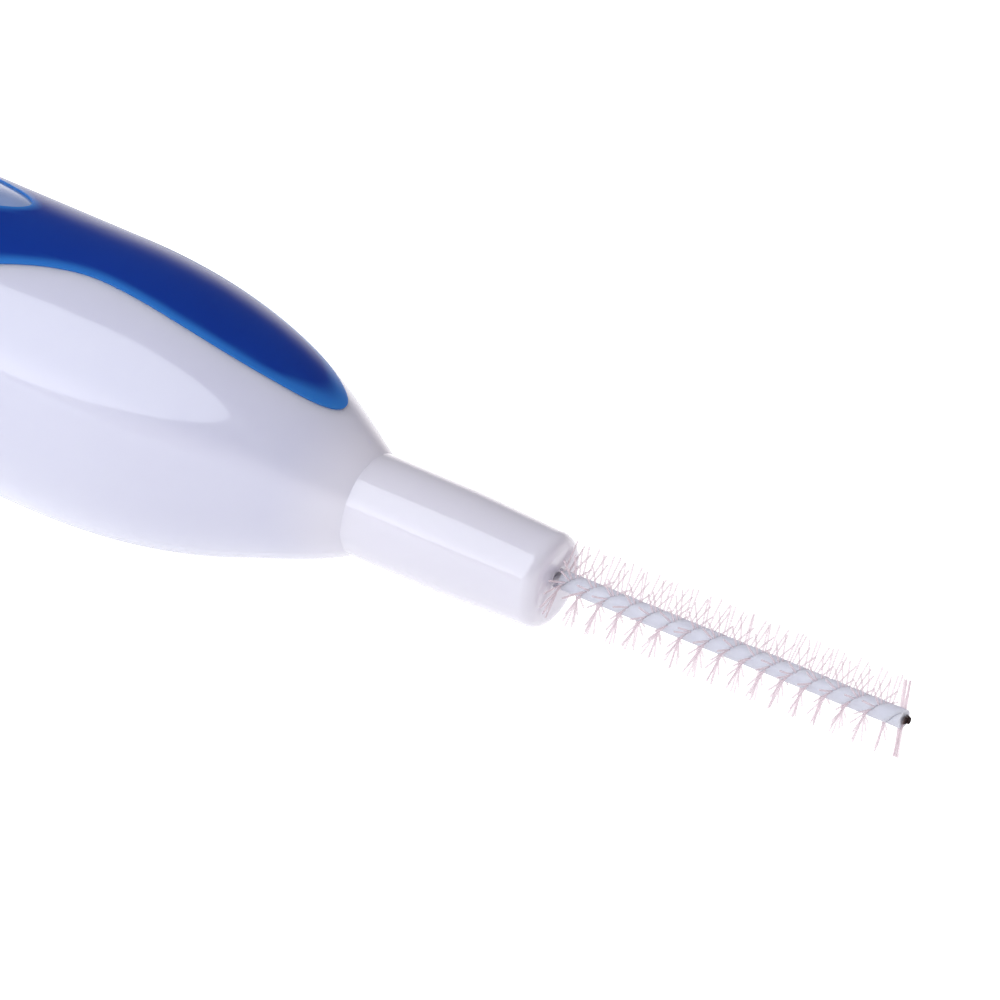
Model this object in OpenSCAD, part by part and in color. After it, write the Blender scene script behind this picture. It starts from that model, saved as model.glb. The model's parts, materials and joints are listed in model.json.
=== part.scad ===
// Interdental brush with a two-colour handle and a clear travel cap.
// Lengths are millimetres. The neck's axis is X, the bristles point to +X and the grip is on top.

/* [Neck] */
// Diameter of the neck, and of the tail peg that takes the same cap
neck_d = 3.75; // [3.7:0.05:4.6]
// Length of the neck from the body to its end face
neck_l = 7.7; // [6.5:0.1:12]
// Straight stretch of the neck next to the body
neck_land = 3.8; // [2:0.1:5]
// Diameter of the neck at its end face, after the mould draft
neck_end_d = 3.5; // [3:0.05:3.7]
// Radius of the rounded rim round the end face
neck_rim = 0.55; // [0.2:0.05:0.9]

/* [Handle body] */
// Radius of the front swell and of the barrel behind it
body_r = 5.1; // [4.9:0.1:6.5]
// Radius of the body where the neck leaves it
nose_r = 1.95; // [1.9:0.05:2.6]
// Length of the front swell, from the neck to the full radius
swell_l = 12; // [9:0.5:16]
// Length of the barrel behind the front swell
barrel_l = 9; // [5:0.5:14]
// Radius of the waist
waist_r = 4.35; // [3.9:0.05:4.9]
// Length from the barrel to the narrowest place of the waist
waist_l = 12; // [8:0.5:16]
// Radius of the rear swell
rear_r = 4.9; // [4.8:0.1:6]
// Length from the waist to the fullest place of the rear swell
rise_l = 11; // [8:0.5:16]
// Length of the rounded tail
tail_l = 10; // [7:0.5:14]
// Radius of the flat shoulder that the cap stops against
shoulder_r = 3.3; // [3.2:0.1:4]
// Height of the body's centre line above the neck's axis
body_rise = 0.28; // [0:0.02:0.4]
// Depth of the flat moulded along the belly
belly_cut = 0.35; // [0.3:0.05:0.7]
// Length of the tail peg
peg_l = 7.5; // [5:0.5:10]

/* [Soft grip] */
// Thickness of the soft grip
grip_t = 0.9; // [0.6:0.1:1.4]
// How far the grip's face stands proud of the handle
grip_proud = 0.08; // [0:0.02:0.2]
// Distance from the neck to the front point of the grip
grip_start = 1.78; // [1.5:0.05:4]
// Half width of the tongues at both ends of the grip
tongue_w = 2.15; // [1.5:0.05:3.2]
// Length of the front tongue
tongue_l = 8.8; // [6:0.05:10]
// Half width of the saddle in the middle of the grip
saddle_w = 4.4; // [3.6:0.1:4.6]
// Length over which the grip flares from tongue to saddle
flare_l = 9; // [6:0.5:11]
// Length of the saddle at its full width
saddle_l = 3; // [1:0.5:6]
// Length of the rear tongue
rear_tongue_l = 11; // [8:0.5:13]
// Distance from the neck to the front of the white window
window_start = 15.45; // [14:0.05:18]
// Length of the white window in the grip
window_l = 13; // [9:0.5:14]
// Half width of the white window
window_w = 1.8; // [1.5:0.05:2.8]
// Depth of the window's face below the surface of the handle
window_drop = 0.05; // [0.05:0.05:0.5]
// Diameter of the plugs that key the grip to the handle
key_d = 2; // [1.2:0.1:2.6]
// Depth of those plugs below the grip
key_l = 1.5; // [0.8:0.1:2.4]

/* [Brush] */
// Diameter over the bristle tips next to the neck
brush_d = 3; // [2.4:0.05:3.1]
// Diameter over the bristle tips at the far end
brush_end_d = 2.8; // [2.2:0.05:3]
// Length from the neck's end face to the tip of the wire
brush_l = 14.35; // [10:0.05:16]
// Bare length between the neck and the first bristle
bristle_start = 0.1; // [0.05:0.05:0.6]
// Bare wire ahead of the last bristle
wire_nose = 0.42; // [0.35:0.05:1]
// Number of filaments pinched in the wire, each giving two bristles
filaments = 164; // [150:2:200]
// Thickness of a filament
bristle_t = 0.07; // [0.05:0.01:0.1]

/* [Wire] */
// Diameter of the bare steel wire
steel_d = 0.22; // [0.16:0.01:0.26]
// Thickness of the plastic coating on each leg of the wire
coat_t = 0.055; // [0.03:0.005:0.08]
// Length of one full turn of the twisted wire
twist_pitch = 1.66; // [1.3:0.02:2.4]
// Hand of the twist, 1 like a right-hand screw and -1 like a left-hand one
twist_hand = -1; // [-1, 1]
// Depth of the twisted tail held in the neck
tail_depth = 9; // [6:0.5:11]
// Bare steel between the neck and the start of the coating
coat_start = 0.6; // [0.2:0.1:1.5]
// Height of the wire above the neck's axis at the end face
wire_rise = 0.24; // [0:0.02:0.24]
// Upward lean of the wire in degrees
wire_lean = 0.95; // [0:0.05:0.95]
// Diameter of the sunk mouth round the wire in the end face
mouth_d = 0.8; // [0.75:0.05:1.2]
// Depth of that mouth
mouth_l = 0.3; // [0.1:0.05:0.6]

/* [Cap] */
// Gap between the cap's bore and the peg, on the radius
cap_gap = 0.04; // [0.02:0.01:0.1]
// Wall of the cap
cap_wall = 0.75; // [0.6:0.05:1]
// Length of free space in the cap beyond the tip of the wire
cap_spare = 2; // [1:0.5:4]
// Thickness of the cap's end
cap_end = 0.9; // [0.6:0.1:1.5]
// How far the ring at the cap's mouth stands proud
lip_proud = 0.22; // [0.1:0.02:0.3]
// Length of that ring
lip_l = 1.2; // [0.8:0.1:2]
// Diameter of the drying vent in the cap's end
vent_d = 1.2; // [0.8:0.1:1.8]
// Gap between the cap's mouth and the shoulder
cap_seat = 0.1; // [0.05:0.05:0.3]

/* [Hidden] */
$fn = 96;

// How fast the front and rear swells grow, and how blunt the grip's tongues are
swell_power = 2.2;
tongue_power = 0.5;
// Share of the front tongue over which its nose grows to the full width
nose_share = 0.75;
// Straight steps that stand for each curved stretch of an outline
curve_steps = 12;
window_steps = 36;
// Share of each filament's room that the filament fills
filament_share = 0.66;
// Rings for one turn of the wire, sides of its section, and rings round its fold
turn_rings = 8;
wire_sides = 6;
fold_rings = 7;
// Places of the two keying plugs, as shares of the tongue that each one sits in
front_key_share = 0.72;
rear_key_share = 0.3;
// Overrun of every cut past the face that it leaves
over = 1;

// Places along the body where one stretch of its outline ends and the next begins
barrel_end = swell_l + barrel_l;
waist_at = barrel_end + waist_l;
rear_top = waist_at + rise_l;
body_l = rear_top + tail_l;
flat_z = body_rise - body_r + belly_cut;
steel_r = steel_d / 2;
coat_r = steel_r + coat_t;
// The legs of the wire lie on both sides of the filaments and pinch them
leg_r = bristle_t / 2 + coat_r * cos(180 / wire_sides);
core_r = leg_r + coat_r;
wire_run = brush_l - leg_r - steel_r;
run_rings = round(wire_run * turn_rings / twist_pitch);
ring_step = wire_run / run_rings;
tail_rings = round(tail_depth / ring_step);
coat_first = ceil(coat_start / ring_step);
coat_last = run_rings - 1;
// The neck is moulded tight round the bare steel tail
steel_hole_r = leg_r + steel_r * cos(180 / wire_sides);
cap_r = neck_d / 2 + cap_gap;
cap_out_r = cap_r + cap_wall;
cap_depth = neck_l + brush_l + cap_spare;
cap_l = cap_depth + cap_end;
grip_l = tongue_l + 2 * flare_l + saddle_l + rear_tongue_l;
key_front = grip_start + tongue_l * front_key_share;
key_rear = grip_start + grip_l - rear_tongue_l * (1 - rear_key_share);
front_x = neck_l + brush_l;
rear_x = -body_l - cap_seat - cap_l;
centre_x = (front_x + rear_x) / 2;

// 0 to 1, starting and ending gently
function ease(t) = (1 - cos(180 * t)) / 2;
// 0 to 1, starting steeply and ending level
function swell(t) = 1 - pow(1 - t, swell_power);
// 0 to 1, the blunt round end of a tongue
function blunt(t) = pow(1 - pow(1 - min(t, 1), 2), tongue_power);

// Radius of the body at a distance behind the neck
function body_at(d) =
    d < swell_l ? nose_r + (body_r - nose_r) * swell(d / swell_l) :
    d < barrel_end ? body_r :
    d < waist_at ? body_r + (waist_r - body_r) * ease((d - barrel_end) / waist_l) :
    d < rear_top ? waist_r + (rear_r - waist_r) * ease((d - waist_at) / rise_l) :
    shoulder_r + (rear_r - shoulder_r) * swell(1 - (d - rear_top) / tail_l);

// Distances behind the neck at which the outline of the body has its points
function places_in(start, length, first) = [
    for (i = [first:curve_steps])
        start + length * i / curve_steps
];
body_places = concat(
    places_in(0, swell_l, 0),
    places_in(barrel_end, waist_l, 0),
    places_in(waist_at, rise_l, 1),
    places_in(rear_top, tail_l, 1)
);

// Turns a shape drawn up the Z axis so that it runs along X
module along_x() {
    rotate([0, 90, 0])
        children();
}

// Moves everything so that the box of the whole part stands centred on the origin
module placed() {
    translate([-centre_x, 0, -flat_z])
        children();
}

// Solid of the body, drawn in by a thickness
module body_solid(sink) {
    points = concat([[0, 0]], [for (d = body_places) [body_at(d) - sink, -d]], [[0, -body_l]]);
    translate([0, 0, body_rise])
        along_x()
            rotate_extrude()
                polygon(points);
}

// Half outline of the neck or the peg as it stands out, with draft and a rounded rim
module stem(length, land, end_d, rim) {
    centre_r = end_d / 2 - rim;
    centre_z = length - rim;
    rim_points = [
        for (i = [0:curve_steps])
            let (a = 90 * i / curve_steps)
            [centre_r + rim * cos(a), centre_z + rim * sin(a)]
    ];
    // A cone round the root fills the corner below the raised body
    root = [[0, -nose_r], [nose_r + body_rise / 2, -nose_r], [nose_r, 0], [neck_d / 2, 0]];
    rotate_extrude()
        polygon(concat(root, [[neck_d / 2, land]], rim_points, [[0, length]]));
}

// Seen from above, half the width of the grip at a distance behind its front point
function grip_half(d) =
    let (flare_at = tongue_l, saddle_at = flare_at + flare_l, close_at = saddle_at + saddle_l)
    let (rear_at = close_at + flare_l, side = saddle_w - tongue_w)
    d < flare_at ? tongue_w * blunt(d / (tongue_l * nose_share)) :
    d < saddle_at ? tongue_w + side * ease((d - flare_at) / flare_l) :
    d < close_at ? saddle_w :
    d < rear_at ? tongue_w + side * ease(1 - (d - close_at) / flare_l) :
    tongue_w * blunt((grip_l - d) / rear_tongue_l);

// Distances along the grip, closer together where its ends turn round
function end_places(length) = [
    for (i = [0:curve_steps])
        length * pow(i / curve_steps, 2)
];
function grip_places() =
    let (front = end_places(tongue_l), rear = end_places(rear_tongue_l))
    let (middle = grip_l - tongue_l - rear_tongue_l)
    concat(
        front,
        [for (i = [1:2 * curve_steps - 1]) tongue_l + middle * i / (2 * curve_steps)],
        [for (i = [curve_steps:-1:0]) grip_l - rear[i]]
    );

// Column over the outline of the grip, from the middle of the body up
module grip_column() {
    places = grip_places();
    last = len(places) - 1;
    left = [for (d = places) [-grip_start - d, grip_half(d)]];
    right = [for (i = [last - 1:-1:1]) [-grip_start - places[i], -grip_half(places[i])]];
    linear_extrude(body_rise + body_r + over)
        polygon(concat(left, right));
}

// Column over the window inside the grip
module window_column() {
    centre = window_start + window_l / 2;
    points = [
        for (i = [0:window_steps - 1])
            let (a = 360 * i / window_steps)
            [window_l / 2 * cos(a) - centre, window_w * sin(a)]
    ];
    linear_extrude(body_rise + body_r + 2 * over)
        polygon(points);
}

// The two plugs that run from the grip down into the handle
module key_plugs() {
    for (at = [key_front, key_rear])
        translate([-at, 0, body_rise + body_at(at) - grip_t - key_l])
            cylinder(h = key_l + grip_t / 2, d = key_d);
}

// Turns and lifts what is drawn along the wire's own axis to its place in the neck
module on_wire() {
    translate([neck_l, 0, wire_rise])
        rotate([0, -wire_lean, 0])
            children();
}

// Hole that the wire's tail fills, with the sunk mouth at the end face
module wire_hole() {
    on_wire() {
        translate([-tail_depth - ring_step, 0, 0])
            along_x()
                cylinder(h = tail_depth + ring_step + over, r = steel_hole_r);
        translate([-mouth_l, 0, 0])
            along_x()
                cylinder(h = mouth_l + over, d = mouth_d);
    }
}

module handle() {
    color([0.87, 0.88, 0.95])
        difference() {
            union() {
                body_solid(0);
                along_x()
                    stem(neck_l, neck_land, neck_end_d, neck_rim);
                translate([-body_l, 0, 0])
                    rotate([0, -90, 0])
                        stem(peg_l, peg_l - 2 * neck_rim, neck_end_d, neck_rim);
            }
            difference() {
                grip_column();
                body_solid(grip_t);
                intersection() {
                    window_column();
                    body_solid(window_drop);
                }
            }
            key_plugs();
            wire_hole();
            translate([-body_l - over, -body_r, flat_z - body_r])
                cube([body_l + 2 * over, 2 * body_r, body_r]);
        }
}

module grip() {
    color([0.08, 0.2, 0.53])
        union() {
            intersection() {
                body_solid(-grip_proud);
                difference() {
                    grip_column();
                    body_solid(grip_t);
                    window_column();
                }
            }
            key_plugs();
        }
}

// Direction from the wire's axis to its first leg at a distance along it
function leg_dir(x) =
    let (a = twist_hand * 360 * x / (ring_step * turn_rings))
    [0, cos(a), sin(a)];
function unit(v) = v / norm(v);

// One ring of points round a leg: its centre, the way it runs, its outer side and its radius
function ring(centre, run, out, r) =
    let (side = cross(run, out))
    [for (j = [0:wire_sides - 1])
        let (a = 360 * (j + 0.5) / wire_sides)
        centre + r * (cos(a) * out + sin(a) * side)];

// A ring on one leg; which is 1 or -1, way is 1 towards the tip or -1 back again
function leg_ring(i, which, way, r) =
    let (x = i * ring_step, out = which * leg_dir(x))
    let (turn = twist_hand * leg_r * 2 * PI / (ring_step * turn_rings))
    let (run = unit([1, 0, 0] + turn * cross([1, 0, 0], out)))
    ring([x, 0, 0] + leg_r * out, way * run, out, r);

// Rings round the fold at the tip, where one leg turns back as the other
function fold_ring(k) =
    let (a = 180 * k / (fold_rings + 1), out = leg_dir(wire_run))
    let (ahead = [1, 0, 0])
    let (outer = sin(a) * ahead + cos(a) * out, run = cos(a) * ahead - sin(a) * out)
    ring([wire_run, 0, 0] + leg_r * outer, run, outer, steel_r);

// Triangles between rings that follow each other, first to last
function skin_faces(rings, first) = [
    for (i = [0:rings - 2], j = [0:wire_sides - 1], half = [0, 1])
        let (a = first + i * wire_sides + j, b = first + i * wire_sides + (j + 1) % wire_sides)
        half == 0 ? [a, b, b + wire_sides] : [a, b + wire_sides, a + wire_sides]
];
function turned(faces) = [for (f = faces) [f[0], f[2], f[1]]];

module brush_wire() {
    there = [for (i = [-tail_rings:run_rings]) leg_ring(i, 1, 1, steel_r)];
    fold = [for (k = [1:fold_rings]) fold_ring(k)];
    back = [for (i = [run_rings:-1:-tail_rings]) leg_ring(i, -1, -1, steel_r)];
    rings = concat(there, fold, back);
    points = [for (r = rings, p = r) p];
    last = len(points) - wire_sides;
    start_cap = [for (j = [1:wire_sides - 2]) [0, j + 1, j]];
    end_cap = [for (j = [1:wire_sides - 2]) [last, last + j, last + j + 1]];
    color([0.36, 0.34, 0.34])
        on_wire()
            polyhedron(points, turned(concat(skin_faces(len(rings), 0), start_cap, end_cap)));
}

// Plastic sleeve on one leg of the wire, with the steel's own outline as its bore
module sleeve(which) {
    outer = [for (i = [coat_first:coat_last]) leg_ring(i, which, 1, coat_r)];
    inner = [for (i = [coat_first:coat_last]) leg_ring(i, which, 1, steel_r)];
    rings = len(outer);
    points = [for (r = concat(outer, inner), p = r) p];
    first = rings * wire_sides;
    mouth = [
        for (j = [0:wire_sides - 1], half = [0, 1])
            let (n = (j + 1) % wire_sides)
            half == 0 ? [j, first + j, first + n] : [j, first + n, n]
    ];
    step = (rings - 1) * wire_sides;
    back = [for (f = turned(mouth)) [f[0] + step, f[1] + step, f[2] + step]];
    faces = concat(skin_faces(rings, 0), turned(skin_faces(rings, first)), mouth, back);
    polyhedron(points, turned(faces));
}

module wire_coating() {
    color([0.8, 0.82, 0.9])
        on_wire()
            for (which = [1, -1])
                sleeve(which);
}

// The filaments are packed side by side in a twisted band between the two legs.
// Each one fills a cell of the band and leaves it as two bristles.
module bristles() {
    length = brush_l - wire_nose - bristle_start;
    room = length / (filaments + 1 - filament_share);
    cells = 2 * filaments - 1;
    places = [
        for (i = [0:cells])
            bristle_start + room * (floor(i / 2) + (i % 2) * filament_share)
    ];
    band_r = core_r;
    half = bristle_t / 2;
    // Four corners of the band at each place
    corners = [
        for (x = places)
            let (legs = leg_dir(x), flat = cross([1, 0, 0], legs), c = [x, 0, 0])
            each [
                c + band_r * flat + half * legs,
                c + band_r * flat - half * legs,
                c - band_r * flat - half * legs,
                c - band_r * flat + half * legs
            ]
    ];
    // Four corners of the tip of each bristle, over the cells with an even number
    tips = [
        for (f = [0:filaments - 1], way = [0, 1])
            let (i = 2 * f, x = (places[i] + places[i + 1]) / 2, t = (x - bristle_start) / length)
            let (reach = (brush_d + (brush_end_d - brush_d) * t) / 2 - band_r)
            let (out = (1 - 2 * way) * cross([1, 0, 0], leg_dir(x)), k = 2 * way)
            each [
                for (v = [4 * i + k, 4 * i + k + 1, 4 * i + 5 + k, 4 * i + 4 + k])
                    corners[v] + reach * out
            ]
    ];
    base = len(corners);
    flats = [
        for (i = [0:cells - 1], k = [0, 2])
            let (a = 4 * i + k + 1, b = 4 * i + (k + 2) % 4)
            each [[a, b, b + 4], [a, b + 4, a + 4]]
    ];
    gaps = [
        for (i = [1:2:cells - 1], k = [0, 2])
            let (a = 4 * i + k)
            each [[a, a + 1, a + 5], [a, a + 5, a + 4]]
    ];
    strands = [
        for (f = [0:filaments - 1], way = [0, 1])
            let (a = 8 * f + 2 * way, t = base + 8 * f + 4 * way)
            let (foot = [a, a + 1, a + 5, a + 4])
            each concat(
                [for (s = [0:3]) [foot[s], foot[(s + 1) % 4], t + (s + 1) % 4]],
                [for (s = [0:3]) [foot[s], t + (s + 1) % 4, t + s]],
                [[t, t + 1, t + 2], [t, t + 2, t + 3]]
            )
    ];
    last = 4 * cells;
    ends = [[0, 3, 2], [0, 2, 1], [last, last + 1, last + 2], [last, last + 2, last + 3]];
    color([0.97, 0.93, 0.95])
        on_wire()
            polyhedron(concat(corners, tips), concat(flats, gaps, strands, ends));
}

module cap() {
    dome_r = cap_out_r - vent_d / 2;
    dome = [
        for (i = [0:curve_steps])
            let (a = 90 * i / curve_steps)
            [vent_d / 2 + dome_r * cos(a), cap_depth - cap_end + 2 * cap_end * sin(a)]
    ];
    lip = [
        [cap_r, 0],
        [cap_out_r + lip_proud, 0],
        [cap_out_r + lip_proud, lip_l],
        [cap_out_r, lip_l + lip_proud]
    ];
    color([0.9, 0.93, 0.96, 0.35])
        translate([-body_l - cap_seat, 0, 0])
            rotate([0, -90, 0])
                rotate_extrude()
                    polygon(concat(lip, dome, [[vent_d / 2, cap_depth], [cap_r, cap_depth]]));
}

placed() handle();
placed() grip();
placed() brush_wire();
placed() wire_coating();
placed() bristles();
placed() cap();
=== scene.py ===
# %% [markdown]
# # An interdental brush
# This lesson dresses a small dental brush that is already built as exact solids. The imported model
# is loaded as a fixed frame, and each visible piece is modelled again here with a finer form and a
# finish of its own, in the very place where the solid lies. The brush is 101 mm long with its cap,
# and its bristles are 0.08 mm thick, so sizes are written in millimetres and turned to metres by
# one factor.

# %% Load the frame
import json
import math
import random

import bpy
from mathutils import Matrix, Vector, kdtree

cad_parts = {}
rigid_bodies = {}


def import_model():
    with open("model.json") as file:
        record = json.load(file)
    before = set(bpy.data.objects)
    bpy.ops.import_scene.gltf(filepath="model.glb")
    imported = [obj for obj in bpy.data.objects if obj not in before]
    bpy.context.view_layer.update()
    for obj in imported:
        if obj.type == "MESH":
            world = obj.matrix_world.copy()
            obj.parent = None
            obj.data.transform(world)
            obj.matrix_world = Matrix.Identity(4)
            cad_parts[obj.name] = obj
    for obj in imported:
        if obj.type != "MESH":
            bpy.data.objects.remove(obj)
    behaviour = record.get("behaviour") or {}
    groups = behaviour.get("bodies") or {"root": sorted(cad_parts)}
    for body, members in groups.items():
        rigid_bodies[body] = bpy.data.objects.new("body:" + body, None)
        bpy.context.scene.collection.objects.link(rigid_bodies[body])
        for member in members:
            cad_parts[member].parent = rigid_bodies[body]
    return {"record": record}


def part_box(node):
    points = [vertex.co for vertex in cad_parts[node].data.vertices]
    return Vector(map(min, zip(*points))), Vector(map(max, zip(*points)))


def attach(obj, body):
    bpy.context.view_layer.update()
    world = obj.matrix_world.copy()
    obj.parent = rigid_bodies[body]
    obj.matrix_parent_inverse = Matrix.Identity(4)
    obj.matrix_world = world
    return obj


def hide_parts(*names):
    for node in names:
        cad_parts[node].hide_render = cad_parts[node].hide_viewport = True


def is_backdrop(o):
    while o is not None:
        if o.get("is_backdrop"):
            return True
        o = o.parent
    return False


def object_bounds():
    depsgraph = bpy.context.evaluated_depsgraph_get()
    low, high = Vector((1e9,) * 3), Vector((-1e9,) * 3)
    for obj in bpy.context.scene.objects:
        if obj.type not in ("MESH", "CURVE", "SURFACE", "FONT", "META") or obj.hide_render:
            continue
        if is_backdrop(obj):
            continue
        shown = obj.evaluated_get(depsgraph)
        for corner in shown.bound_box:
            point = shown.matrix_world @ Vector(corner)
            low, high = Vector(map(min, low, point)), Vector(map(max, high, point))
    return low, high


for leftover in list(bpy.data.objects):
    bpy.data.objects.remove(leftover)
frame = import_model()
cad_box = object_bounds()
MM = 0.001
print("solid model, mm:", [[round(c / MM, 2) for c in corner] for corner in cad_box])

# %% [markdown]
# ## Places that come from the frame
# The neck is a plain round pin, and the record states its place and radius. Everything on the brush
# is measured from the neck's root, where it leaves the handle, so these few values place all
# pieces. Distances along the handle are counted backwards from there, as a mould drawing would
# count them.

# %% Take the neck, the axis and the ends from the frame
neck_mount = next(m for m in frame["record"]["mounts"] if m["name"] == "neck")
neck_r = neck_mount["dims"]["r_mm"]
neck_land = neck_mount["dims"]["length_mm"]
axis_z = neck_mount["pos_m"][2] / MM
root_x = neck_mount["pos_m"][0] / MM - neck_land / 2
neck_end_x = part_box("handle")[1].x / MM
peg_end_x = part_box("handle")[0].x / MM
cap_mouth_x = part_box("cap")[1].x / MM
cap_end_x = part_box("cap")[0].x / MM
print("neck from x", round(root_x, 2), "to", round(neck_end_x, 2), "mm")
print("peg ends at x", round(peg_end_x, 2), "mm")

# %% [markdown]
# ## Camera
# The brush lies level and points to the right, 25 degrees towards the lens, and the picture is
# tilted so that it runs down to the right. A long lens keeps the near and far ends at one scale.
# The view is settled by three directions: from the object to the camera, right in the picture, and
# up in it. Rolling the neck's own axes by the picture's slope gives the last two.

# %% Set the camera to the photograph's view
IMAGE_PX = 1000
PX_PER_MM = 29.2
NECK_END_PX = (557.3, 584.3)
TOWARDS_LENS = math.radians(25)
LIFT_ROUND_AXIS = math.radians(26)
SLOPE_IN_PICTURE = math.radians(23.1)
CAMERA_AWAY = 500

along = Vector((1, 0, 0))
side_on = Vector((0, -math.cos(LIFT_ROUND_AXIS), math.sin(LIFT_ROUND_AXIS)))
over_top = Vector((0, math.sin(LIFT_ROUND_AXIS), math.cos(LIFT_ROUND_AXIS)))
to_camera = math.sin(TOWARDS_LENS) * along + math.cos(TOWARDS_LENS) * side_on
axis_in_picture = math.cos(TOWARDS_LENS) * along - math.sin(TOWARDS_LENS) * side_on
right = math.cos(SLOPE_IN_PICTURE) * axis_in_picture + math.sin(SLOPE_IN_PICTURE) * over_top
up = math.cos(SLOPE_IN_PICTURE) * over_top - math.sin(SLOPE_IN_PICTURE) * axis_in_picture

neck_end = Vector((neck_end_x, 0, axis_z))
shift_right = (NECK_END_PX[0] - IMAGE_PX / 2) / PX_PER_MM
shift_down = (NECK_END_PX[1] - IMAGE_PX / 2) / PX_PER_MM
aim = neck_end - shift_right * right + shift_down * up

camera_data = bpy.data.cameras.new("camera")
camera = bpy.data.objects.new("camera", camera_data)
bpy.context.scene.collection.objects.link(camera)
turn = Matrix((right, up, to_camera)).transposed().to_4x4()
camera.matrix_world = Matrix.Translation((aim + CAMERA_AWAY * to_camera) * MM) @ turn
camera_data.lens = camera_data.sensor_width * CAMERA_AWAY * PX_PER_MM / IMAGE_PX
camera_data.clip_start = 10 * MM
camera_data.clip_end = 10000 * MM
bpy.context.scene.camera = camera
bpy.context.scene.view_settings.view_transform = "Standard"
print("lens", round(camera_data.lens), "mm, picture", round(IMAGE_PX / PX_PER_MM, 1), "mm wide")

# %% [markdown]
# ## Helpers for nodes and colours
# Colours are written as sRGB hex values, the way a paint chart gives them, and turned to the linear
# values that the shaders need. One small function adds any node with its settings and its inputs.

# %% Colours and nodes
def linear(hex_colour):
    """An sRGB hex value such as "8090A0" as a linear RGBA colour."""
    channels = [int(hex_colour[i:i + 2], 16) / 255 for i in (0, 2, 4)]
    return [c / 12.92 if c <= 0.04045 else ((c + 0.055) / 1.055) ** 2.4 for c in channels] + [1]


def add_node(tree, kind, settings=None, inputs=None):
    """Adds a node. An input is a plain value, or the output socket of another node."""
    made = tree.nodes.new(kind)
    for name, value in (settings or {}).items():
        setattr(made, name, value)
    for name, value in (inputs or {}).items():
        if isinstance(value, bpy.types.NodeSocket):
            tree.links.new(value, made.inputs[name])
        else:
            made.inputs[name].default_value = value
    return made


def new_material(name):
    """An empty node material and its tree."""
    material = bpy.data.materials.new(name)
    material.use_nodes = True
    material.node_tree.nodes.clear()
    return material, material.node_tree


def per_mm(size):
    """Scale of a texture whose grain is that many millimetres, on coordinates in metres."""
    return 1 / (size * MM)


print("mid grey 808080 is", round(linear("808080")[0], 3), "in linear light")

# %% [markdown]
# ## Floor, softbox and fill
# The brush was shot high-key: a white ground, one large oval softbox in front and above, and an
# even fill from a white room. The softbox shows as a long soft-edged band on the neck and as a lens
# on the swell. Its edges in those reflections give its place: it reaches from just above the table
# to 65 degrees up, and its end towards the bristles is tipped up. Gloss sees the room as pale walls
# under a dark ceiling, which keeps the top of the grip deep blue and gives it a thin pale rim. The
# strengths were matched to the photograph one light at a time, and added up. The ground looks white
# to the lens and a little darker in reflections, glows only faintly towards the brush, and holds its
# shadow.

# %% Make the floor
FLOOR_GLOW = 0.85
FLOOR_GLOSS = 0.55
FLOOR_FILL = 0.2


def white_ground():
    material, tree = new_material("white_ground_paper")
    rays = add_node(tree, "ShaderNodeLightPath")
    seen = add_node(tree, "ShaderNodeMath", {"operation": "MAXIMUM"},
                    {0: rays.outputs["Is Camera Ray"], 1: rays.outputs["Is Transmission Ray"]})
    glow = add_node(tree, "ShaderNodeMapRange", None,
                    {"Value": seen.outputs[0], "To Min": FLOOR_FILL, "To Max": FLOOR_GLOW})
    mirrored = add_node(tree, "ShaderNodeMath", {"operation": "MULTIPLY"},
                        {0: rays.outputs["Is Glossy Ray"], 1: FLOOR_GLOSS})
    glow = add_node(tree, "ShaderNodeMath", {"operation": "MAXIMUM"},
                    {0: glow.outputs[0], 1: mirrored.outputs[0]})
    paper = add_node(tree, "ShaderNodeBsdfDiffuse", None, {"Color": linear("F4F4F4")})
    light = add_node(tree, "ShaderNodeEmission", None, {"Strength": glow.outputs[0]})
    both = add_node(tree, "ShaderNodeAddShader", None, {0: paper.outputs[0], 1: light.outputs[0]})
    add_node(tree, "ShaderNodeOutputMaterial", None, {"Surface": both.outputs[0]})
    return material


FLOOR_SIZE = 6000
bpy.ops.object.select_all(action="DESELECT")
bpy.ops.mesh.primitive_plane_add(size=FLOOR_SIZE * MM, location=(0, 0, 0))
floor = bpy.context.object
floor.name = "floor"
floor.data.materials.append(white_ground())
floor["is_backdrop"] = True
print("floor", FLOOR_SIZE, "mm square")

# %% Light it with one softbox
SOFTBOX_AWAY = 200
SOFTBOX_LEFT = -300
SOFTBOX_BOTTOM = math.radians(3)
SOFTBOX_TOP = math.radians(65)
SOFTBOX_EDGE = math.radians(9)
SOFTBOX_ROLL = math.radians(15)
SOFTBOX_RADIANCE = 1.7
SOFTBOX_COLOUR = (0.88, 0.93, 1.0)

half_height = SOFTBOX_AWAY * math.tan((SOFTBOX_TOP - SOFTBOX_BOTTOM) / 2)
right_edge = neck_end_x + SOFTBOX_AWAY * math.tan(SOFTBOX_EDGE)
tilt = (SOFTBOX_TOP + SOFTBOX_BOTTOM) / 2
facing = Vector((0, -math.cos(tilt), math.sin(tilt)))
softbox_data = bpy.data.lights.new("softbox", "AREA")
softbox_data.shape = "ELLIPSE"
softbox_data.size = (right_edge - SOFTBOX_LEFT) * MM
softbox_data.size_y = 2 * half_height * MM
softbox_data.color = SOFTBOX_COLOUR
oval_area = math.pi / 4 * softbox_data.size * softbox_data.size_y
softbox_data.energy = SOFTBOX_RADIANCE * math.pi * oval_area
softbox = bpy.data.objects.new("softbox", softbox_data)
bpy.context.scene.collection.objects.link(softbox)
faces_point = Vector(((right_edge + SOFTBOX_LEFT) / 2, 0, axis_z))
softbox.location = (faces_point + SOFTBOX_AWAY * facing) * MM
square_on = facing.to_track_quat("Z", "Y").to_matrix()
softbox.rotation_euler = (square_on @ Matrix.Rotation(SOFTBOX_ROLL, 3, "Z")).to_euler()
softbox.visible_camera = False
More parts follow.
